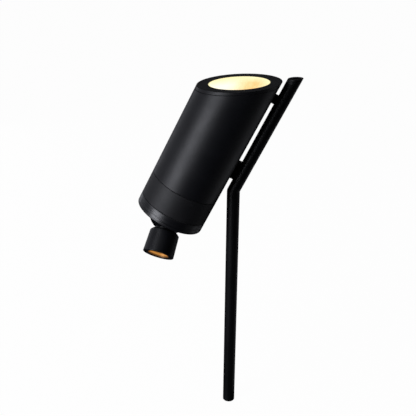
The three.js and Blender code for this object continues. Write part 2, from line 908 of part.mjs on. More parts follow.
const spot = new THREE.Group();
spot.add(
  mesh('swivel_ball', swivelBall(), glossBlack()),
  mesh('swivel_neck', swivelNeck(), glossBlack()),
  mesh('spot_housing', spotHousing(), satinBlack()),
  mesh('spot_heat_slug', spotHeatSlug(), bareAluminium()),
  mesh('spot_led', spotLed(), ledBoardWhite()),
  mesh('spot_optic', spotOptic(), clearGlass()),
  mesh('spot_glass', spotGlass(), clearGlass()),
  mesh('spot_glass_seal', spotGlassSeal(), rubber()),
  mesh('spot_baffle', spotBaffle(), goldAnodised()),
  mesh('spot_front_ring', spotFrontRing(), satinBlack()),
  mesh('spot_lead', spotLead(), leadSheath()),
);
spot.rotation.x = -spotTilt;

const spotSwivel = new THREE.Group();
spotSwivel.position.z = ballLevel;
spotSwivel.rotation.z = spotTurn;
spotSwivel.add(spot);
head.add(spotSwivel);

const object = new THREE.Group();
object.add(spike, rod, head);

export default object;
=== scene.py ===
"""Looks of a garden spotlight on a rod stake: fine meshes, procedural finishes and a pale studio.

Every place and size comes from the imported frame. Lengths are in metres.
"""

import json
import math

import bmesh
import bpy
from mathutils import Matrix, Vector


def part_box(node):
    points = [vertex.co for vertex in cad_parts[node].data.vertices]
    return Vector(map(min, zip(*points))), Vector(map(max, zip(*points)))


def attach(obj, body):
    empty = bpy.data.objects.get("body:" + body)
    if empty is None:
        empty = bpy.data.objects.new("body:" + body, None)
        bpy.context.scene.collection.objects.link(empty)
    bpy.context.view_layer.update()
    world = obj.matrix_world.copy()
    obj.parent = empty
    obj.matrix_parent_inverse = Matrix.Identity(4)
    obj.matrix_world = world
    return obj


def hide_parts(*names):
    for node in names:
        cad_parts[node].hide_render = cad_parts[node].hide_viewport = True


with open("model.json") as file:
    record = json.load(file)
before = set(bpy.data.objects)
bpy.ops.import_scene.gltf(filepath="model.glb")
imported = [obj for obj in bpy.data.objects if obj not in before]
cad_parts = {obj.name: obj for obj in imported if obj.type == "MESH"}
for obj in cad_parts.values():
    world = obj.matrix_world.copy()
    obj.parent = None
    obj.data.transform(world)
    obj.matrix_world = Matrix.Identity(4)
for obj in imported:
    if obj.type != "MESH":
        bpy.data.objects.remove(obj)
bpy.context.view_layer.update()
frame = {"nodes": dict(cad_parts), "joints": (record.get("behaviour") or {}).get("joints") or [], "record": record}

MM = 0.001
SEGMENTS = 128                      # facets round a turned piece of the head
SPOT_SEGMENTS = 96                  # round one of the small spot, and round the spike
SMALL_SEGMENTS = 64                 # and round the rod, its cap and the lit faces
EDGE = 0.35 * MM                    # how far the rounding of a sharp edge reaches
SEAM_EDGE = 0.6 * MM                # and beside the seam between collar and end cap
NECK_EDGE = 1.4 * MM                # and on the rim of the swivel's neck
SPIKE_EDGE = 0.8 * MM               # and on the moulded spike
DOME_EDGE = 0.4 * MM                # and on a diode's lit face
DRILL_EDGE = 0.01 * MM              # and on a drill, which has to stay sharp
KEPT_EDGE = 0.3 * MM                # and on pieces that keep the CAD's own shape
NEAR = 2e-6                         # points closer than this are one point
SHALLOW_TURN = math.radians(32)     # corners below this are steps of a curve
ARC_STEP = math.radians(12)         # turn between two points of a rounding

MINUS_X = Vector((-1, 0, 0))
MINUS_Y = Vector((0, -1, 0))
UP = Vector((0, 0, 1))
ORIGIN = Vector((0, 0, 0))

# ---- Frames of reference ---------------------------------------------------------------------
joints = {joint["name"]: joint for joint in frame["joints"]}
body_of = {node: body for body, nodes in frame["record"]["behaviour"]["bodies"].items() for node in nodes}
slot_of = {part["node"]: part["material_slot"] for part in frame["record"]["subparts"]}


def middle(node):
    """The centre of a node's box, which is the centre of any piece that is the same upside down."""
    low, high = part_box(node)
    return (low + high) / 2


def place(origin, x_axis, z_axis):
    """The matrix of a frame with that origin, X axis and Z axis."""
    y_axis = z_axis.cross(x_axis)
    return Matrix.Translation(origin) @ Matrix((x_axis, y_axis, z_axis)).transposed().to_4x4()


ball_centre = Vector(joints["spot_swivel"]["pos_m"])
head_axis = Vector(joints["spot_swivel"]["axis"]).normalized()
towards_rod = Vector((0, 1, 0)).cross(head_axis)
tilt_axis = Vector(joints["spot_tilt"]["axis"]).normalized()
spot_axis = (ball_centre - middle("spot_glass")).normalized()

WORLD = Matrix.Identity(4)
HEAD = place(ball_centre, towards_rod, head_axis)
SPOT = place(ball_centre, -tilt_axis, spot_axis)
ROD_END = place(middle("rod_end_cap"), towards_rod, head_axis)


def local_points(node, frame_place):
    """A node's vertices in a frame of reference."""
    inverse = frame_place.inverted()
    return [inverse @ vertex.co for vertex in frame["nodes"][node].data.vertices]


# ---- Outlines of the CAD pieces --------------------------------------------------------------
def cut_open(node, frame_place, towards):
    """The edges where a half-plane, from the frame's Z axis towards a direction, cuts a node."""
    mesh = bmesh.new()
    mesh.from_mesh(frame["nodes"][node].data)
    bmesh.ops.transform(mesh, matrix=frame_place.inverted(), verts=mesh.verts)
    bmesh.ops.remove_doubles(mesh, verts=mesh.verts, dist=NEAR)
    for normal, one_side in ((towards, True), (UP.cross(towards), False)):
        everything = [*mesh.verts, *mesh.edges, *mesh.faces]
        cut = bmesh.ops.bisect_plane(
            mesh, geom=everything, dist=NEAR, plane_co=ORIGIN, plane_no=normal, clear_inner=one_side)
    edges = [item for item in cut["geom_cut"] if isinstance(item, bmesh.types.BMEdge)]
    return [[vertex.co.copy() for vertex in edge.verts] for edge in edges]


def grid_place(point):
    """A name for a point that is the same for every copy of it."""
    return tuple(round(value / NEAR / 2) for value in point)


def chain(edges):
    """Points in order along a run of edges, and whether the run closes on itself."""
    places = {}
    neighbours = {}
    for edge in edges:
        one, other = (grid_place(point) for point in edge)
        places[one], places[other] = edge
        neighbours.setdefault(one, []).append(other)
        neighbours.setdefault(other, []).append(one)
    ends = sorted(name for name, near in neighbours.items() if len(near) == 1)
    path = [ends[0] if ends else min(neighbours)]
    previous = None
    while True:
        onward = [name for name in neighbours[path[-1]] if name != previous]
        if not onward or onward[0] == path[0]:
            break
        previous = path[-1]
        path.append(onward[0])
    return [places[name] for name in path], not ends


def turn_at(before, corner, after):
    """The angle by which a path turns at a corner, in the plane of radius and height."""
    return (corner - before).xy.angle((after - corner).xy, 0)


def section(node, frame_place, towards):
    """A node's half-section as corners (radius, height, 0), anticlockwise, from a set first corner."""
    points, closed = chain(cut_open(node, frame_place, towards))
    points = [Vector((point.dot(towards), point.z, 0)) for point in points]
    count = len(points)
    corners = [
        point for i, point in enumerate(points)
        if (not closed and i in (0, count - 1))
        or turn_at(points[i - 1], point, points[(i + 1) % count]) > 0.01
    ]
    count = len(corners)
    area = sum(corners[i - 1].x * corners[i].y - corners[i].x * corners[i - 1].y for i in range(count))
    if area < 0:
        corners.reverse()
    if closed:
        first = min(range(count), key=lambda i: (round(corners[i].y, 5), -corners[i].x))
        corners = corners[first:] + corners[:first]
    return corners, closed


def turned_outline(node, frame_place):
    """Corners (radius, height, rise) of a turned node; rise is what an oblique cut adds towards +X."""
    middle_corners, closed = section(node, frame_place, MINUS_Y)
    low_corners, _ = section(node, frame_place, MINUS_X)
    if len(middle_corners) != len(low_corners):
        raise ValueError(f"{node} has sections of {len(middle_corners)} and {len(low_corners)} corners")
    pairs = zip(middle_corners, low_corners)
    return [Vector((one.x, one.y, one.y - other.y)) for one, other in pairs], closed


def rounded(corners, closed, edge):
    """(point, heading, wear) along an outline: sharp corners eased by edge, shallow ones made a curve."""
    stations = []
    last = len(corners) - 1
    for i, corner in enumerate(corners):
        before = corners[i - 1] - corner
        after = corners[(i + 1) % len(corners)] - corner
        if not closed and i in (0, last):
            stations.append((corner, after if i == 0 else -before, 0.0))
            continue
        turn = turn_at(corners[i - 1], corner, corners[(i + 1) % len(corners)])
        shallow = turn < SHALLOW_TURN
        room = min(before.xy.length, after.xy.length) / 2
        reach = room if shallow else min(edge, room)
        start = corner + before * (reach / before.xy.length)
        end = corner + after * (reach / after.xy.length)
        convex = before.x * after.y - before.y * after.x < 0
        steps = max(2, math.ceil(turn / ARC_STEP))
        for step in range(steps + 1):
            along = step / steps
            one = start.lerp(corner, along)
            other = corner.lerp(end, along)
            wear = math.sin(math.pi * along) if convex and not shallow else 0.0
            stations.append((one.lerp(other, along), other - one, wear))
    kept = [stations[0]]
    for station in stations[1:]:
        if (station[0] - kept[-1][0]).length > NEAR:
            kept.append(station)
    if closed and (kept[0][0] - kept[-1][0]).length < NEAR:
        kept.pop()
    return kept


# ---- Meshes ----------------------------------------------------------------------------------
def carried(frame_place):
    """How points of a frame of reference go to the world: (place, turn) of each."""
    turn = frame_place.to_3x3()
    return lambda point: (frame_place @ point, turn)


def smooth_mesh(name, carry, points, faces, normals, wear):
    """A mesh shaded by given normals. Each vertex keeps its own coordinates and its wear."""
    mesh = bpy.data.meshes.new(name)
    places, turns = zip(*(carry(point) for point in points))
    mesh.from_pydata(places, [], faces)
    keep_own(mesh, points)
    mesh.attributes.new("wear", "FLOAT", "POINT").data.foreach_set("value", wear)
    mesh.shade_smooth()
    mesh.normals_split_custom_set_from_vertices([turn @ normal for turn, normal in zip(turns, normals)])
    return mesh


def keep_own(mesh, points):
    """Stores each vertex's coordinates in the piece's own frame of reference."""
    own = mesh.attributes.new("own", "FLOAT_VECTOR", "POINT")
    own.data.foreach_set("vector", [value for point in points for value in point])


def revolved(name, carry, stations, closed, segments=SEGMENTS):
    """A turned mesh about a frame's Z axis through an outline's stations."""
    points, normals, wear, rings = [], [], [], []
    for point, heading, worn in stations:
        pole = point.x < NEAR
        ring = []
        for segment in range(1 if pole else segments):
            angle = 2 * math.pi * segment / segments
            c, s = math.cos(angle), math.sin(angle)
            ring.append(len(points))
            points.append(Vector((point.x * c, point.x * s, point.y + point.z * c)))
            up = Vector((heading.x * c, heading.x * s, heading.y + heading.z * c))
            around = Vector((-point.x * s, point.x * c, -point.z * s))
            normals.append(Vector((0, 0, -heading.x)) if pole else around.cross(up).normalized())
            wear.append(worn)
        rings.append(ring)
    pairs = list(zip(rings, rings[1:]))
    if closed:
        pairs.append((rings[-1], rings[0]))
    faces = [face for lower, upper in pairs for face in strip(lower, upper)]
    return smooth_mesh(name, carry, points, faces, normals, wear)


def strip(lower, upper):
    """The faces between two closed rings of vertices, either of which may be a single pole."""
    count = max(len(lower), len(upper))
    faces = []
    for i in range(count):
        j = (i + 1) % count
        face = [lower[i % len(lower)], lower[j % len(lower)], upper[j % len(upper)], upper[i % len(upper)]]
        faces.append(list(dict.fromkeys(face)))
    return faces


def turned_mesh(node, frame_place, edge=EDGE, segments=SEGMENTS):
    """The fine mesh of a turned CAD node."""
    corners, closed = turned_outline(node, frame_place)
    return revolved(node, carried(frame_place), rounded(corners, closed, edge), closed, segments)


def hard_mesh(name, frame_place, points, faces):
    """A mesh with flat sides and crisp corners, from points in a frame of reference."""
    mesh = bpy.data.meshes.new(name)
    mesh.from_pydata([frame_place @ Vector(point) for point in points], [], faces)
    crisp(mesh)
    return mesh


def crisp(mesh, angle=math.radians(35)):
    """Smooth shading with sharp edges wherever two faces meet at more than an angle."""
    mesh.shade_smooth()
    mesh.set_sharp_from_angle(angle=angle)


def bar(frame_place, radius, start, end, segments=32):
    """A round bar along a frame's X axis, as a tool for drilling."""
    lengthwise = frame_place @ Matrix.Rotation(math.pi / 2, 4, "Y")
    corners = [Vector((x, z, 0)) for x, z in ((0, start), (radius, start), (radius, end), (0, end))]
    return revolved("drill", carried(lengthwise), rounded(corners, False, DRILL_EDGE), False, segments)


def combined(mesh, operation, *others):
    """The mesh after other meshes are cut out of it or joined to it."""
    scratch = [bpy.data.objects.new("scratch", item) for item in (mesh, *others)]
    for item in scratch:
        bpy.context.scene.collection.objects.link(item)
    for item in scratch[1:]:
        step = scratch[0].modifiers.new("combine", "BOOLEAN")
        step.operation = operation
        step.object = item
        step.solver = "MANIFOLD"
    bpy.context.view_layer.update()
    graph = bpy.context.evaluated_depsgraph_get()
    result = bpy.data.meshes.new_from_object(scratch[0].evaluated_get(graph))
    for item in scratch:
        bpy.data.objects.remove(item)
    result.name = mesh.name
    return result


def drilled(mesh, *tools):
    """The mesh with tool meshes cut out, shaded again."""
    result = combined(mesh, "DIFFERENCE", *tools)
    crisp(result)
    return result


# ---- Pieces ----------------------------------------------------------------------------------
MATERIALS = {}


def stand_in(node, mesh, name=None, material=None):
    """A piece that takes the place, body, slot and finish of a CAD node."""
    piece = bpy.data.objects.new(name or f"{node}_fine", mesh)
    bpy.context.scene.collection.objects.link(piece)
    mesh.materials.clear()
    mesh.materials.append(material or MATERIALS[slot_of[node]])
    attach(piece, body_of[node])
    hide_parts(node)
    return piece


def even_shading(piece):
    """Keeps the big faces of a drilled or bevelled piece flat in its shading."""
    modifier = piece.modifiers.new("even_shading", "WEIGHTED_NORMAL")
    modifier.keep_sharp = True


def eased_mesh(node, width):
    """A CAD piece's own shape with its flat faces merged and its sharp edges rounded."""
    shape = bmesh.new()
    shape.from_mesh(frame["nodes"][node].data)
    bmesh.ops.remove_doubles(shape, verts=shape.verts, dist=NEAR)
    bmesh.ops.dissolve_limit(shape, angle_limit=math.radians(1), verts=shape.verts, edges=shape.edges)
    sharp = [edge for edge in shape.edges if edge.calc_face_angle(0) > math.radians(40)]
    bmesh.ops.bevel(
        shape, geom=sharp, offset=width, segments=2, profile=0.5, affect="EDGES", clamp_overlap=True)
    mesh = bpy.data.meshes.new(node)
    shape.to_mesh(mesh)
    crisp(mesh)
    return mesh


# ---- Finishes --------------------------------------------------------------------------------
class Finish:
    """A material with one Principled shader, and short calls for the nodes that drive it."""

    def __init__(self, name, **values):
        self.material = bpy.data.materials.new(name)
        self.material.use_nodes = True
        self.tree = self.material.node_tree
        self.shader = self.tree.nodes["Principled BSDF"]
        for socket, value in values.items():
            self.shader.inputs[socket.replace("_", " ")].default_value = value

    def node(self, kind, inputs=None, **settings):
        """A new node with its settings; inputs maps sockets to values or to other nodes' outputs."""
        made = self.tree.nodes.new(f"ShaderNode{kind}")
        for setting, value in settings.items():
            setattr(made, setting, value)
        for socket, value in (inputs or {}).items():
            if isinstance(value, bpy.types.NodeSocket):
                self.tree.links.new(value, made.inputs[socket])
            else:
                made.inputs[socket].default_value = value
        return made

    def feed(self, output, socket):
        self.tree.links.new(output, self.shader.inputs[socket])

    def math(self, operation, one, other=0.0, third=0.0, clamp=False):
        values = {0: one, 1: other, 2: third}
        return self.node("Math", values, operation=operation, use_clamp=clamp).outputs[0]

    def own(self):
        """The coordinates of a fine mesh in its own frame of reference."""
        return self.node("Attribute", attribute_name="own").outputs["Vector"]

    def stretched(self, scale, vector=None):
        """Coordinates in metres, squeezed along each axis so that noise on them is stretched."""
        source = vector or self.node("TexCoord").outputs["Object"]
        return self.node("Mapping", {"Vector": source, "Scale": scale}).outputs["Vector"]

    def rings(self):
        """Coordinates that are alike all round a fine mesh's axis: radius, 0, height."""
        split = self.node("SeparateXYZ", {"Vector": self.own()}).outputs
        squares = self.math("ADD", self.math("POWER", split["X"], 2), self.math("POWER", split["Y"], 2))
        radius = self.math("SQRT", squares)
        return self.node("CombineXYZ", {"X": radius, "Z": split["Z"]}).outputs["Vector"]

    def noise(self, size, vector=None, detail=2.0):
        """Noise from 0 to 1 with features of a real size in metres."""
        inputs = {"Vector": vector or self.stretched((1, 1, 1)), "Scale": 1 / size, "Detail": detail}
        return self.node("TexNoise", inputs).outputs["Fac"]

    def spread(self, value, low, high, start=0.3, end=0.7):
        """A value mapped from start..end to low..high."""
        inputs = {"Value": value, "From Min": start, "From Max": end, "To Min": low, "To Max": high}
        return self.node("MapRange", inputs).outputs["Result"]

    def blend(self, factor, one, other):
        """A colour between two, each a colour or a colour output."""
        made = self.node("Mix", data_type="RGBA")
        for socket, value in (("Factor_Float", factor), ("A_Color", one), ("B_Color", other)):
            target = next(item for item in made.inputs if item.identifier == socket)
            if isinstance(value, bpy.types.NodeSocket):
                self.tree.links.new(value, target)
            else:
                target.default_value = value if isinstance(value, float) else (*value, 1)
        return next(item for item in made.outputs if item.identifier == "Result_Color")

    def bump(self, height, distance, strength=1.0, over=None):
        """Relief of a real depth in metres, on top of another relief if given."""
        inputs = {"Height": height, "Distance": distance, "Strength": strength}
        if over:
            inputs["Normal"] = over
        return self.node("Bump", inputs).outputs["Normal"]


def black_coat(name, tone, worn_tone, roughness, grain, depth):
    """A dark paint or plastic: fine grain, clouded gloss and edges rubbed a little lighter."""
    finish = Finish(name, Specular_IOR_Level=0.5)
    clouds = finish.noise(22 * MM, detail=4.0)
    grains = finish.noise(grain, detail=3.0)
    shade = finish.blend(finish.spread(clouds, 0.0, 1.0), tone, tuple(value * 1.25 for value in tone))
    wear = finish.node("Attribute", attribute_name="wear").outputs["Fac"]
    rubbed = finish.math("MULTIPLY", wear, finish.spread(clouds, 0.15, 0.75), clamp=True)
    finish.feed(finish.blend(rubbed, shade, worn_tone), "Base Color")
    mottled = finish.math("ADD", finish.spread(clouds, -0.03, 0.03), finish.spread(grains, -0.04, 0.04))
    finish.feed(finish.math("ADD", mottled, roughness), "Roughness")
    finish.feed(finish.bump(grains, depth), "Normal")
    return finish.material


def satin_black():
    return black_coat("satin_black", tone=(0.0085, 0.009, 0.0115), worn_tone=(0.03, 0.03, 0.032),
                      roughness=0.45, grain=0.45 * MM, depth=0.02 * MM)


def matte_black():
    return black_coat("matte_black", tone=(0.014, 0.0143, 0.0162), worn_tone=(0.034, 0.034, 0.036),
                      roughness=0.55, grain=0.5 * MM, depth=0.04 * MM)


def gloss_black():
    return black_coat("gloss_black", tone=(0.004, 0.0042, 0.0055), worn_tone=(0.02, 0.02, 0.022),
                      roughness=0.17, grain=1.2 * MM, depth=0.004 * MM)


def spike_black():
    return black_coat("spike_black", tone=(0.017, 0.0175, 0.018), worn_tone=(0.045, 0.045, 0.046),
                      roughness=0.52, grain=0.8 * MM, depth=0.06 * MM)


def black_rubber():
    return black_coat("black_rubber", tone=(0.012, 0.012, 0.012), worn_tone=(0.03, 0.03, 0.03),
                      roughness=0.78, grain=0.6 * MM, depth=0.05 * MM)


def rod_black():
    """Drawn tube under a thin paint: faint streaks along its length."""
    finish = Finish("rod_black", Specular_IOR_Level=0.35)
    streaks = finish.noise(1 * MM, finish.stretched((1, 1, 0.012), finish.own()), detail=3.0)
    grains = finish.noise(0.45 * MM, detail=3.0)
    clouds = finish.noise(30 * MM, detail=3.0)
    shade = finish.blend(finish.spread(streaks, 0.0, 1.0), (0.004, 0.0045, 0.005), (0.009, 0.0095, 0.011))
    finish.feed(shade, "Base Color")
    mottled = finish.math("ADD", finish.spread(streaks, -0.07, 0.07), finish.spread(clouds, -0.03, 0.03))
    finish.feed(finish.math("ADD", mottled, 0.46), "Roughness")
    relief = finish.bump(streaks, 0.02 * MM)
    finish.feed(finish.bump(grains, 0.015 * MM, over=relief), "Normal")
    return finish.material


def turned_black():
    """Dark anodised aluminium straight from the lathe: rings all round, fine and coarse."""
    finish = Finish("turned_black", Specular_IOR_Level=0.7)
    fine = finish.noise(0.5 * MM, finish.rings(), detail=3.0)
    coarse = finish.noise(2.6 * MM, finish.rings(), detail=2.0)
    clouds = finish.noise(18 * MM, detail=3.0)
    wear = finish.node("Attribute", attribute_name="wear").outputs["Fac"]
    shade = finish.blend(finish.spread(fine, 0.0, 1.0), (0.007, 0.0074, 0.0095), (0.014, 0.0145, 0.0175))
    finish.feed(finish.blend(finish.math("MULTIPLY", wear, 0.5), shade, (0.05, 0.05, 0.055)), "Base Color")
    mottled = finish.math("ADD", finish.spread(coarse, -0.12, 0.12), finish.spread(clouds, -0.02, 0.02))
    finish.feed(finish.math("ADD", mottled, 0.31), "Roughness")
    relief = finish.bump(coarse, 0.03 * MM)
    finish.feed(finish.bump(fine, 0.012 * MM, over=relief), "Normal")
    return finish.material


def brushed_metal(name, tone, roughness, stretch):
    """Bare metal with fine lines and a slightly uneven gloss."""
    finish = Finish(name, Metallic=1.0)
    lines = finish.noise(0.6 * MM, finish.stretched(stretch), detail=3.0)
    clouds = finish.noise(12 * MM, detail=3.0)
    darker = tuple(value * 0.8 for value in tone)
    finish.feed(finish.blend(finish.spread(clouds, 0.0, 1.0), darker, tone), "Base Color")
    mottled = finish.math("ADD", finish.spread(lines, -0.08, 0.08), finish.spread(clouds, -0.05, 0.05))
    finish.feed(finish.math("ADD", mottled, roughness), "Roughness")
    finish.feed(finish.bump(lines, 0.01 * MM), "Normal")
    return finish.material


def zinc_steel():
    return brushed_metal("zinc_steel", tone=(0.62, 0.62, 0.6), roughness=0.34, stretch=(1, 1, 1))


def bare_aluminium():
    return brushed_metal("bare_aluminium", tone=(0.78, 0.79, 0.8), roughness=0.36, stretch=(0.05, 1, 1))


def polished_reflector():
    """Bright spun aluminium with faint spinning rings."""
    finish = Finish("polished_reflector", Metallic=1.0)
    rings = finish.noise(0.9 * MM, finish.rings(), detail=2.0)
    shade = finish.blend(finish.spread(rings, 0.0, 1.0), (0.86, 0.83, 0.76), (0.93, 0.91, 0.86))
    finish.feed(shade, "Base Color")
    finish.feed(finish.spread(rings, 0.08, 0.18), "Roughness")
    finish.feed(finish.bump(rings, 0.01 * MM), "Normal")
    return finish.material


def moulded_plastic(name, tone, roughness):
    """Plain technical plastic with a fine eroded mould texture."""
    finish = Finish(name)
    clouds = finish.noise(9 * MM, detail=3.0)
    grains = finish.noise(0.35 * MM, detail=2.0)
    darker = tuple(value * 0.86 for value in tone)
    finish.feed(finish.blend(finish.spread(clouds, 0.0, 1.0), darker, tone), "Base Color")
    finish.feed(finish.spread(grains, roughness - 0.07, roughness + 0.07), "Roughness")
    finish.feed(finish.bump(grains, 0.03 * MM), "Normal")
    return finish.material


def driver_plastic():
    return moulded_plastic("driver_plastic", tone=(0.66, 0.67, 0.64), roughness=0.5)


def terminal_green():
    return moulded_plastic("terminal_green", tone=(0.03, 0.16, 0.1), roughness=0.45)


def lead_red():
    return moulded_plastic("lead_red", tone=(0.27, 0.03, 0.022), roughness=0.5)


def low_friction():
    return moulded_plastic("low_friction", tone=(0.72, 0.7, 0.63), roughness=0.38)


def led_ceramic():
    return moulded_plastic("led_ceramic", tone=(0.8, 0.79, 0.74), roughness=0.42)


def phosphor():
    """The yellow light-emitting face of a diode module."""
    finish = Finish("phosphor", Roughness=0.5, Emission_Strength=4.0)
    grains = finish.noise(0.3 * MM, detail=2.0)
    grain = finish.spread(grains, 0.0, 1.0)
    finish.feed(finish.blend(grain, (0.85, 0.6, 0.12), (0.9, 0.7, 0.2)), "Base Color")
    finish.feed(finish.blend(grain, (1.0, 0.78, 0.4), (1.0, 0.84, 0.5)), "Emission Color")
    return finish.material


def clear_glass():
    """Toughened glass with a trace of green and of wiping marks."""
    finish = Finish("clear_glass", Transmission_Weight=1.0, IOR=1.5)
    smears = finish.noise(14 * MM, finish.stretched((1, 0.3, 1)), detail=4.0)
    finish.feed(finish.spread(smears, 0.0, 0.05), "Roughness")
    tint = finish.blend(finish.spread(smears, 0.0, 1.0), (0.96, 0.985, 0.97), (1.0, 1.0, 1.0))
    finish.feed(tint, "Base Color")
    return finish.material


# The walls with painted light: how far below the oblique face a point of the liner is, in the head's own frame.
liner_corners, _ = turned_outline("mouth_liner", HEAD)
rim_corner = max(liner_corners, key=lambda corner: corner.y)
mouth_radius = min(corner.x for corner in liner_corners)
face_slope = rim_corner.z / rim_corner.x


def cream_enamel():
    """The main mouth's wall, glowing with painted light of the lamp below: pale deep down and away from the rod,
    golden near the rim, a painted amber reflection on the rod's side and a painted highlight along the rim.
    """
    finish = Finish("cream_enamel", Roughness=0.45, Emission_Strength=1.0)
    own = finish.node("SeparateXYZ", {"Vector": finish.own()}).outputs
    rim_height = finish.math("MULTIPLY_ADD", own["X"], face_slope, rim_corner.y)
    depth = finish.math("SUBTRACT", rim_height, own["Z"])
    across = finish.math("DIVIDE", own["X"], mouth_radius)
    clouds = finish.noise(10 * MM, detail=3.0)
    streaks = finish.noise(2.5 * MM, finish.stretched((1, 1, 0.3), finish.own()), detail=3.0)

    # painted light: the wall glows brighter deeper down and on the side away from the rod
    painted_low_glow = finish.spread(depth, 0.0, 1.0, start=1 * MM, end=11 * MM)
    painted_far_side_glow = finish.spread(across, 1.0, 0.0, start=-0.2, end=0.5)
    glow = finish.math("MULTIPLY", painted_low_glow, painted_far_side_glow, clamp=True)
    light = finish.blend(glow, (0.93, 0.82, 0.47), (0.98, 0.975, 0.85))

    # painted reflection: an amber patch of reflected warm light on the rod's side, below the rim
    rise = finish.spread(across, 0.0, 1.0, start=0.05, end=0.65)
    fall = finish.spread(across, 1.0, 0.3, start=0.8, end=0.97)
    below_rim = finish.spread(depth, 0.1, 1.0, start=1.5 * MM, end=8 * MM)
    painted_reflection_patch = finish.math("MULTIPLY", finish.math("MULTIPLY", rise, fall), below_rim)
    painted_amber_reflection = finish.math("MULTIPLY", painted_reflection_patch, finish.spread(streaks, 0.7, 1.05), clamp=True)
    light = finish.blend(painted_amber_reflection, light, (0.90, 0.50, 0.15))

    # painted highlight: a bright line along the rim
    rim = finish.spread(depth, 0.8, 0.0, start=0.3 * MM, end=1.6 * MM)
    # the painted light goes out as the wall's own emission, though the wall is no lamp
    finish.feed(finish.blend(rim, light, (1.0, 0.93, 0.52)), "Emission Color")
    shade = finish.blend(finish.spread(clouds, 0.0, 1.0), (0.3, 0.27, 0.19), (0.34, 0.31, 0.23))
    finish.feed(shade, "Base Color")
    finish.feed(finish.bump(finish.noise(0.5 * MM, detail=2.0), 0.02 * MM), "Normal")
    return finish.material


baffle_mouth = min(point.z for point in local_points("spot_baffle", SPOT))


def gold_baffle():
    """The gold cone inside the small spot, glowing with painted light half way down, with painted shade at its
    depth and at its mouth.
    """
    finish = Finish("gold_baffle", Metallic=0.7, Emission_Strength=0.7)
    own = finish.node("SeparateXYZ", {"Vector": finish.own()}).outputs
    height = finish.math("SUBTRACT", own["Z"], baffle_mouth)
    rings = finish.noise(0.6 * MM, finish.rings(), detail=2.0)
    # painted light and shade: a glowing band half way down, painted shade towards the mouth and the depth
    out_of_mouth = finish.spread(height, 0.0, 1.0, start=1.0 * MM, end=2.8 * MM)
    out_of_depth = finish.spread(height, 1.0, 0.0, start=2.6 * MM, end=5.6 * MM)
    lit = finish.math("MULTIPLY", out_of_mouth, out_of_depth, clamp=True)
    # given out as the cone's own emission, though the cone is no lamp
    finish.feed(finish.blend(lit, (0.07, 0.03, 0.01), (0.86, 0.37, 0.075)), "Emission Color")
    shade = finish.blend(finish.spread(rings, 0.0, 1.0), (0.20, 0.10, 0.03), (0.26, 0.14, 0.05))
    finish.feed(shade, "Base Color")
    finish.feed(finish.spread(rings, 0.34, 0.48), "Roughness")
    finish.feed(finish.bump(rings, 0.01 * MM), "Normal")
    return finish.material


for make in (satin_black, rod_black, matte_black, turned_black, gloss_black, spike_black, black_rubber,
             zinc_steel, bare_aluminium, cream_enamel, polished_reflector, gold_baffle, clear_glass,
             led_ceramic, driver_plastic, terminal_green, lead_red, low_friction):
    MATERIALS[make.__name__] = make()

# ---- Turned pieces ---------------------------------------------------------------------------
HEAD_TURNED = ["front_bezel", "bezel_gasket", "mouth_liner", "cover_glass", "glass_gasket",
               "main_reflector", "collar", "collar_seal", "end_cap", "cap_seal", "ball_friction_ring",
               "ball_spring_washer", "ball_clamp_ring"]
SPOT_TURNED = ["swivel_ball", "swivel_neck", "spot_housing", "spot_optic", "spot_glass", "spot_glass_seal",
               "spot_baffle", "spot_front_ring", "spot_lead"]

EDGE_OF = {"collar": SEAM_EDGE, "end_cap": SEAM_EDGE, "swivel_neck": NECK_EDGE}

for node in HEAD_TURNED:
    stand_in(node, turned_mesh(node, HEAD, EDGE_OF.get(node, EDGE)))
for node in SPOT_TURNED:
    stand_in(node, turned_mesh(node, SPOT, EDGE_OF.get(node, EDGE), SPOT_SEGMENTS))
stand_in("rod_end_cap", turned_mesh("rod_end_cap", ROD_END, segments=SMALL_SEGMENTS))

# ---- Housing, standoffs and rod --------------------------------------------------------------
CLEARANCE = 0.3 * MM                # of a screw or a lead in its hole
HOUSING_SCREWS = ["upper_standoff_screw", "lower_standoff_screw_1", "lower_standoff_screw_2"]


def reach_of(points, axis):
    """Lowest and highest coordinate of points along one axis."""
    values = [point[axis] for point in points]
    return min(values), max(values)


def from_line(points, centre):
    """Distances of points from a line along X through a centre."""
    return [(point.yz - centre.yz).length for point in points]


def screw_drill(node):
    """The drill for a standoff screw's shank."""
    points = local_points(node, HEAD)
    start, end = reach_of(points, 0)
    centre = HEAD.inverted() @ middle(node)
    shank = max(from_line([point for point in points if point.x > (start + end) / 2], centre))
    return bar(HEAD @ Matrix.Translation(centre), shank + CLEARANCE, start - centre.x, end - centre.x)


def lead_drill():
    """The drill for the way that the supply lead takes from the rod into the housing."""
    points = local_points("inlet_gland", HEAD)
    centre = HEAD.inverted() @ middle("inlet_gland")
    rod_axis = (HEAD.inverted() @ ROD_END.translation).x
    bore = min(from_line(points, centre))
    start = reach_of(points, 0)[0] - centre.x
    return bar(HEAD @ Matrix.Translation(centre), bore, start, rod_axis - centre.x)


def drills():
    return [*(screw_drill(node) for node in HOUSING_SCREWS), lead_drill()]


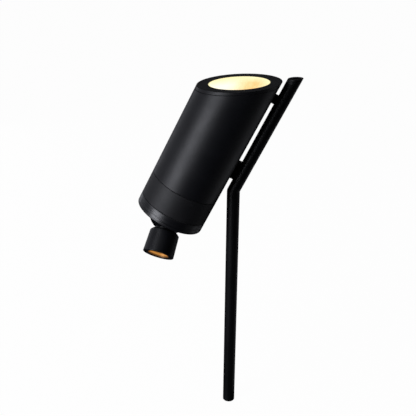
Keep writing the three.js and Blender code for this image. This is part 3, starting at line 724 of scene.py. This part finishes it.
def standoff_mesh(node):
    """A block with rounded long edges that fits the round of the housing and of the rod."""
    points = local_points(node, HEAD)
    width = reach_of(points, 1)[1]
    bottom, top = reach_of(points, 2)
    rod_axis = (HEAD.inverted() @ ROD_END.translation).x
    housing_side = min(point.xy.length for point in points)
    rod_side = min(math.hypot(point.x - rod_axis, point.y) for point in points)
    ease = 1.1 * MM
    steps = 6
    quarter = [math.pi / 2 * step / steps for step in range(steps + 1)]
    shoulder = [(width - ease + ease * math.sin(angle), ease - ease * math.cos(angle)) for angle in quarter]
    flat = [(width - ease) * step / steps for step in range(-steps + 1, steps)]
    across = [(-y, drop) for y, drop in reversed(shoulder)] + [(y, 0) for y in flat] + shoulder
    vertices = []
    for y, drop in across:
        near = math.sqrt(housing_side ** 2 - y ** 2)
        far = rod_axis - math.sqrt(rod_side ** 2 - y ** 2)
        low, high = bottom + drop, top - drop
        vertices += [(near, y, low), (far, y, low), (far, y, high), (near, y, high)]
    rings = [list(range(i, i + 4)) for i in range(0, len(vertices), 4)]
    faces = [face for one, other in zip(rings, rings[1:]) for face in strip(one, other)]
    faces += [rings[0][::-1], rings[-1]]
    return hard_mesh(node, HEAD, vertices, faces)


class Rod:
    """The bent rod: its sizes from the frame, and the way from straight to bent."""

    def __init__(self):
        points = [vertex.co for vertex in frame["nodes"]["stake_rod"].data.vertices]
        self.bottom = min(point.z for point in points)
        foot = [point.xy.length for point in points if point.z < self.bottom + NEAR]
        self.outer, self.inner = max(foot), min(foot)
        self.bend_start = min(point.z for point in points if point.z > self.bottom + NEAR)
        end = ROD_END.translation
        corner = end - head_axis * (end.x / head_axis.x)
        tangent = corner.z - self.bend_start
        self.lean = head_axis.angle(UP)
        self.bend_radius = tangent / math.tan(self.lean / 2)
        self.bend_end = self.bend_start + self.bend_radius * self.lean
        self.end = self.bend_end + (end - corner).length - tangent
        cap_corners, _ = turned_outline("rod_end_cap", ROD_END)
        self.face_slope = max(point.z / point.x for point in cap_corners if point.x > NEAR)
        level = [point for point in local_points("stake_rod", ROD_END) if abs(point.x) < NEAR]
        self.top = self.end + max(point.z for point in level)

    def bent(self, point):
        """Where a point of the straight rod goes, and how it turns. Its z is its level if straight."""
        angle = min(max((point.z - self.bend_start) / self.bend_radius, 0), self.lean)
        turn = Matrix.Rotation(angle, 3, "Y")
        centre = Vector((self.bend_radius * (1 - math.cos(angle)), 0,
                         self.bend_start + self.bend_radius * math.sin(angle)))
        beyond = min(point.z - self.bend_start, 0) + max(point.z - self.bend_end, 0)
        return centre + turn @ Vector((point.x, point.y, beyond)), turn

    def mesh(self):
        rise = self.face_slope
        corners = [Vector((self.inner, self.bottom, 0)), Vector((self.outer, self.bottom, 0)),
                   Vector((self.outer, self.top, rise * self.outer)),
                   Vector((self.inner, self.top, rise * self.inner))]
        stations = self.with_bend(rounded(corners, True, EDGE))
        return revolved("stake_rod", self.bent, stations, True, SMALL_SEGMENTS)

    def with_bend(self, stations):
        """The stations with more of them wherever the wall passes through the bend."""
        steps = 20
        finer = []
        for (point, heading, wear), (after, _, _) in zip(stations, stations[1:] + stations[:1]):
            finer.append((point, heading, wear))
            if abs(after.y - point.y) > self.bend_radius:
                bend = self.bend_end - self.bend_start
                levels = [self.bend_start + bend * i / steps for i in range(steps + 1)]
                for level in sorted(levels, reverse=after.y < point.y):
                    along = (level - point.y) / (after.y - point.y)
                    finer.append((point.lerp(after, along), heading, 0.0))
        return finer


rod = Rod()
for node, mesh in (("main_housing", turned_mesh("main_housing", HEAD)),
                   ("upper_standoff", standoff_mesh("upper_standoff")),
                   ("lower_standoff", standoff_mesh("lower_standoff")),
                   ("stake_rod", rod.mesh())):
    even_shading(stand_in(node, drilled(mesh, *drills())))

# ---- Light sources ---------------------------------------------------------------------------
BOARD_CORNER = 0.12                 # of a board's rounding, as a share of half its side
SQUARE_IN_DISC = math.sqrt(0.5)     # half the side of a square, as a share of the disc round it
DOME_SHARE = 0.94                   # of the top of the lit face, as a share of its foot


def rounded_square(half, corner, inset, level):
    """Points round a square with rounded corners, drawn in by inset, at one level."""
    steps = 5
    points = []
    for quadrant in range(4):
        diagonal = math.pi / 2 * quadrant + math.pi / 4
        centre = Vector((math.cos(diagonal), math.sin(diagonal))) * math.sqrt(2) * (half - corner)
        for step in range(steps + 1):
            angle = math.pi / 2 * (quadrant + step / steps)
            edge = Vector((math.cos(angle), math.sin(angle))) * (corner - inset)
            points.append((*(centre + edge), level))
    return points


def board_mesh(node, frame_place, half, bottom, top):
    """A square board with rounded corners and eased edges."""
    corner = half * BOARD_CORNER
    ease = min(0.2 * MM, (top - bottom) / 3)
    layers = [(ease, bottom), (0, bottom + ease), (0, top - ease), (ease, top)]
    outlines = [rounded_square(half, corner, inset, level) for inset, level in layers]
    count = len(outlines[0])
    rings = [list(range(i * count, (i + 1) * count)) for i in range(len(outlines))]
    faces = [face for one, other in zip(rings, rings[1:]) for face in strip(one, other)]
    faces += [rings[0][::-1], rings[-1]]
    return hard_mesh(node, frame_place, [point for outline in outlines for point in outline], faces)


def light_source(node, frame_place, facing, board_share):
    """A diode module: a ceramic board, and a domed yellow face that gives the light.

    facing is 1 if the face looks along the frame's Z axis, and board_share is the board's half side
    as a share of the CAD node's reach.
    """
    points = local_points(node, frame_place)
    low, high = reach_of(points, 2)
    emitting = high if facing > 0 else low
    face_radius = max(point.xy.length for point in points if abs(point.z - emitting) < NEAR)
    levels = sorted({round(point.z, 6) for point in points}, key=lambda level: abs(level - emitting))
    half = max(abs(point.x) for point in points) * board_share
    step = next(level for level in levels if abs(level - emitting) > 0.1 * MM)
    bottom, top = sorted((step, low if facing > 0 else high))
    stand_in(node, board_mesh(node, frame_place, half, bottom, top))
    dome = [
        Vector((face_radius, step, 0)),
        Vector((face_radius * DOME_SHARE, emitting, 0)),
        Vector((0, emitting, 0)),
    ]
    if facing < 0:
        dome.reverse()
    stations = rounded(dome, False, DOME_EDGE)
    mesh = revolved(f"{node}_face", carried(frame_place), stations, False, SMALL_SEGMENTS)
    stand_in(node, mesh, f"{node}_face", phosphor())


light_source("main_led", HEAD, 1, 1)
light_source("spot_led", SPOT, -1, SQUARE_IN_DISC)

for node in ("cover_glass", "spot_glass", "spot_optic"):
    glass = bpy.data.objects[f"{node}_fine"]
    glass.visible_diffuse = False
    glass.visible_shadow = False

# ---- Spike and its bush ----------------------------------------------------------------------
SPIKE_CORE = 15 * MM                # points further out than this belong to a fin or the flange
FIN_REACH = 5 * MM                  # more than half a fin's thickness
DRILL_LENGTH = 40 * MM              # from the spike's axis to well outside it
BUSH_SEGMENTS = 48

BUSH = place(Vector((0, 0, middle("cable_bush").z)), Vector((0, 1, 0)), MINUS_X)
stand_in("cable_bush", turned_mesh("cable_bush", BUSH, segments=BUSH_SEGMENTS))


def spike_mesh():
    """The turned core with four fins, the way out for the lead and the clamp screw's hole."""
    corners, closed = section("ground_spike", WORLD, -MINUS_X)
    stations = rounded(corners, closed, SPIKE_EDGE)
    core = revolved("ground_spike", carried(WORLD), stations, closed, SPOT_SEGMENTS)
    fins = [fin_mesh(math.pi / 4 + math.pi / 2 * i) for i in range(4)]
    return drilled(combined(core, "UNION", *fins), cable_way(), clamp_screw_hole())


def cable_way():
    """The drill for the way that the supply cable takes out of the spike, towards -X."""
    centre = middle("cable_bush")
    inside = [point for point in local_points("cable_bush", WORLD) if point.x > centre.x]
    bore = max(from_line(inside, centre))
    return bar(Matrix.Translation((0, 0, centre.z)), bore + CLEARANCE, -DRILL_LENGTH, 0)


def clamp_screw_hole():
    """The drill for the screw that clamps the rod, towards -Y."""
    level = Matrix.Translation((0, 0, middle("rod_clamp_screw").z))
    low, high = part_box("rod_clamp_screw")
    quarter_turn = Matrix.Rotation(math.pi / 2, 4, "Z")
    return bar(level @ quarter_turn, (high.x - low.x) / 2 + CLEARANCE, -DRILL_LENGTH, 0)


def fin_mesh(angle):
    """One fin: the spike's section in the fin's plane, as a plate."""
    outward_way = Vector((math.cos(angle), math.sin(angle), 0))
    sideways = UP.cross(outward_way)
    corners, _ = section("ground_spike", WORLD, outward_way)
    neck_level = middle("rod_clamp_screw").z * 2
    blade = [point for point in local_points("ground_spike", WORLD)
             if point.dot(outward_way) > SPIKE_CORE and abs(point.dot(sideways)) < FIN_REACH
             and point.z < neck_level]
    half = max(abs(point.dot(sideways)) for point in blade)
    head_bottom = max(point.z for point in blade)
    outline = [corner for corner in corners if corner.y < head_bottom + NEAR]
    outline = [Vector((0, outline[0].y, 0)), *outline[1:], Vector((0, head_bottom, 0))]
    points = [outward_way * corner.x + UP * corner.y + sideways * side * half
              for side in (-1, 1) for corner in outline]
    count = len(outline)
    one, other = list(range(count)), list(range(count, 2 * count))
    return hard_mesh("fin", WORLD, points, [*strip(one, other), one[::-1], other])


even_shading(stand_in("ground_spike", spike_mesh()))

# ---- Pieces with the CAD's own shape ---------------------------------------------------------
for node, target in frame["nodes"].items():
    if not target.hide_render:
        even_shading(stand_in(node, eased_mesh(node, KEPT_EDGE)))

# ---- Studio ----------------------------------------------------------------------------------
AIM = Vector((-0.03128, 0.0, 0.29807))      # the point that the camera looks at
VIEW_DISTANCE = 0.87004
VIEW_TURN = math.radians(-2.65)             # of the camera about the object, from the front
VIEW_PITCH = math.radians(24.30)            # how high the camera stands
VIEW_ROLL = math.radians(0.39)
FOCAL_LENGTH = 60.16                        # in millimetres, with a frame 36 mm wide
FLOOR_SIZE = 40


def outward(azimuth, elevation):
    """The direction of a point of the sky; azimuth 0 is -Y and grows towards +X."""
    flat = math.cos(elevation)
    return Vector((math.sin(azimuth) * flat, -math.cos(azimuth) * flat, math.sin(elevation)))


def add_camera():
    """The camera, at the angle from which the lamp is shown."""
    data = bpy.data.cameras.new("camera")
    data.lens = FOCAL_LENGTH
    data.sensor_width = 36
    data.clip_start = 0.05
    data.clip_end = 50
    camera = bpy.data.objects.new("camera", data)
    bpy.context.scene.collection.objects.link(camera)
    back = outward(VIEW_TURN, VIEW_PITCH)
    camera.rotation_euler = ((-back).to_track_quat("-Z", "Y").to_matrix()
                             @ Matrix.Rotation(VIEW_ROLL, 3, "Z")).to_euler()
    camera.location = AIM + back * VIEW_DISTANCE
    bpy.context.scene.camera = camera


def softbox(name, azimuth, elevation, width, height, radiance, distance=1.4):
    """A soft light panel of a slightly cool white that faces the head. Angles are in degrees."""
    data = bpy.data.lights.new(name, "AREA")
    data.shape = "RECTANGLE"
    data.size = width
    data.size_y = height
    data.energy = radiance * math.pi * width * height
    data.color = (0.94, 0.955, 1.03)
    light = bpy.data.objects.new(name, data)
    bpy.context.scene.collection.objects.link(light)
    direction = outward(math.radians(azimuth), math.radians(elevation))
    light.location = HEAD.translation + direction * distance
    light.rotation_euler = direction.to_track_quat("Z", "Y").to_euler()
    light.visible_camera = False


def plain_floor():
    """A white floor that the camera sees, and that leaves all shadows and reflections to the panels."""
    finish = Finish("studio_floor", Base_Color=(0.02, 0.02, 0.02, 1), Roughness=1.0,
                    Emission_Color=(1, 1, 1, 1), Emission_Strength=0.98)
    bpy.ops.mesh.primitive_plane_add(size=FLOOR_SIZE, location=(0, 0, 0))
    floor = bpy.context.object
    floor.name = "studio_floor"
    floor.data.materials.append(finish.material)
    floor.visible_glossy = False
    floor.visible_diffuse = False
    floor.visible_shadow = False


def pale_world():
    """A white surrounding for the camera alone."""
    world = bpy.data.worlds.new("studio")
    world.use_nodes = True
    world.node_tree.nodes["Background"].inputs["Color"].default_value = (1, 1, 1, 1)
    world.cycles_visibility.glossy = False
    world.cycles_visibility.diffuse = False
    bpy.context.scene.world = world
    bpy.context.scene.view_settings.view_transform = "Standard"


add_camera()
pale_world()
plain_floor()
softbox("key", azimuth=-53, elevation=6, width=0.62, height=0.85, radiance=4.9, distance=1.3)
softbox("key_side", azimuth=-35, elevation=-6, width=0.4, height=0.8, radiance=0.35)
softbox("left_1", azimuth=-75, elevation=10, width=0.5, height=0.9, radiance=0.32)
softbox("left_2", azimuth=-95, elevation=11, width=0.5, height=0.9, radiance=0.15)
softbox("left_3", azimuth=-118, elevation=9, width=0.6, height=0.9, radiance=0.34)
softbox("left_4", azimuth=-145, elevation=0, width=0.6, height=0.9, radiance=0.58)
softbox("floor_glow_1", azimuth=70, elevation=-40, width=0.8, height=0.8, radiance=0.07)
softbox("floor_glow_2", azimuth=115, elevation=-38, width=0.9, height=0.8, radiance=0.24)
softbox("back_wall", azimuth=176, elevation=14.5, width=0.7, height=0.5, radiance=0.17)
softbox("ceiling", azimuth=0, elevation=75, width=1.0, height=1.0, radiance=0.2)
softbox("high_left", azimuth=-60, elevation=50, width=0.55, height=0.5, radiance=1.6)
softbox("low_right", azimuth=100, elevation=-14, width=0.5, height=0.5, radiance=0.14)
